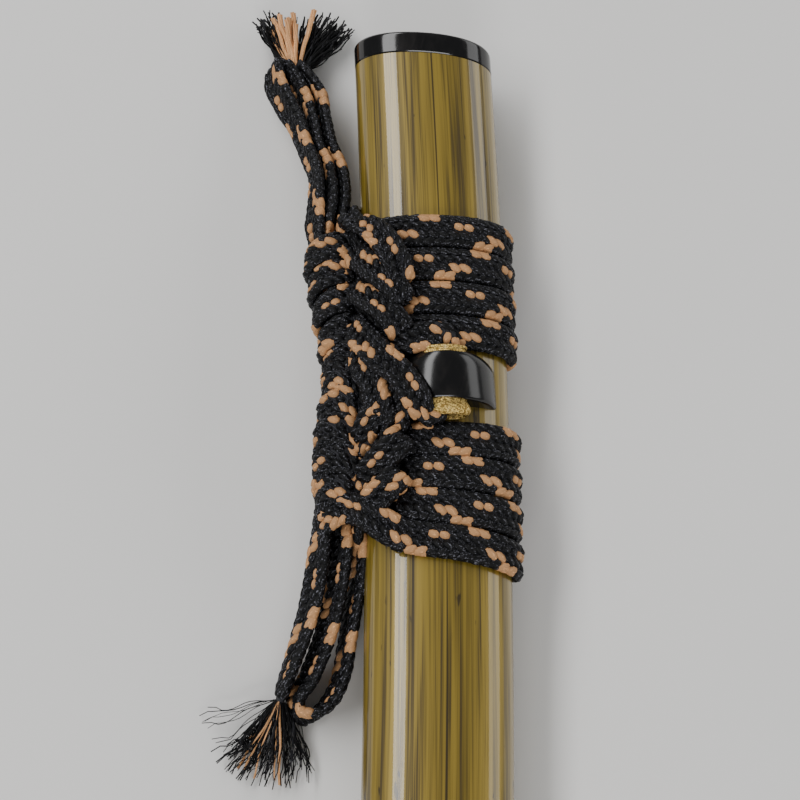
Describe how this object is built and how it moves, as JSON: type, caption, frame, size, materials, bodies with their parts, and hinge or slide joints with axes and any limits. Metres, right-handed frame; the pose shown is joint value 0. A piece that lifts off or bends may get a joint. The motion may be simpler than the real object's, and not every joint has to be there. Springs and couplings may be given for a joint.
{
  "type": "sword scabbard",
  "caption": "Curved lacquered wooden scabbard with horn mouth ring and end cap, a cord knob with gilt eyelets and a tied flat braided cord with tassels.",
  "frame": {"origin": "bottom centre of the whole object's box, on the surface the scabbard lies on", "axes": "+Y along the scabbard towards its mouth, +X towards its convex edge side, +Z out of its front face with the cord knob"},
  "size_m": [0.0996, 0.7384, 0.0386],
  "materials": {
    "lacquer": "high-gloss olive gold lacquer with dark lengthwise streaks",
    "horn": "polished black buffalo horn",
    "gilt": "gilt with a fine punched texture",
    "braid": "black flat braid with peach accent stitches",
    "fray": "frayed black and peach threads"
  },
  "bodies": {
    "root": {"front_wooden_half": "lacquer", "back_wooden_half": "lacquer", "horn_mouth_ring": "horn", "horn_end_cap": "horn", "cord_knob": "horn", "upper_eyelet": "gilt", "lower_eyelet": "gilt", "cord_through_knob": "braid", "upper_cord_turn_1": "braid", "upper_cord_turn_2": "braid", "upper_cord_turn_3": "braid", "upper_cord_turn_4": "braid", "lower_cord_turn_1": "braid", "lower_cord_turn_2": "braid", "lower_cord_turn_3": "braid", "lower_cord_turn_4": "braid", "upper_cord_hitches": "braid", "lower_cord_hitches": "braid", "upper_cord_crossings": "braid", "middle_cord_crossings": "braid", "lower_cord_crossings": "braid", "upper_cord_lead": "braid", "lower_cord_lead": "braid", "upper_cord_tail": "braid", "lower_cord_tail": "braid", "upper_tassel": "fray", "lower_tassel": "fray"}
  },
  "joints": []
}
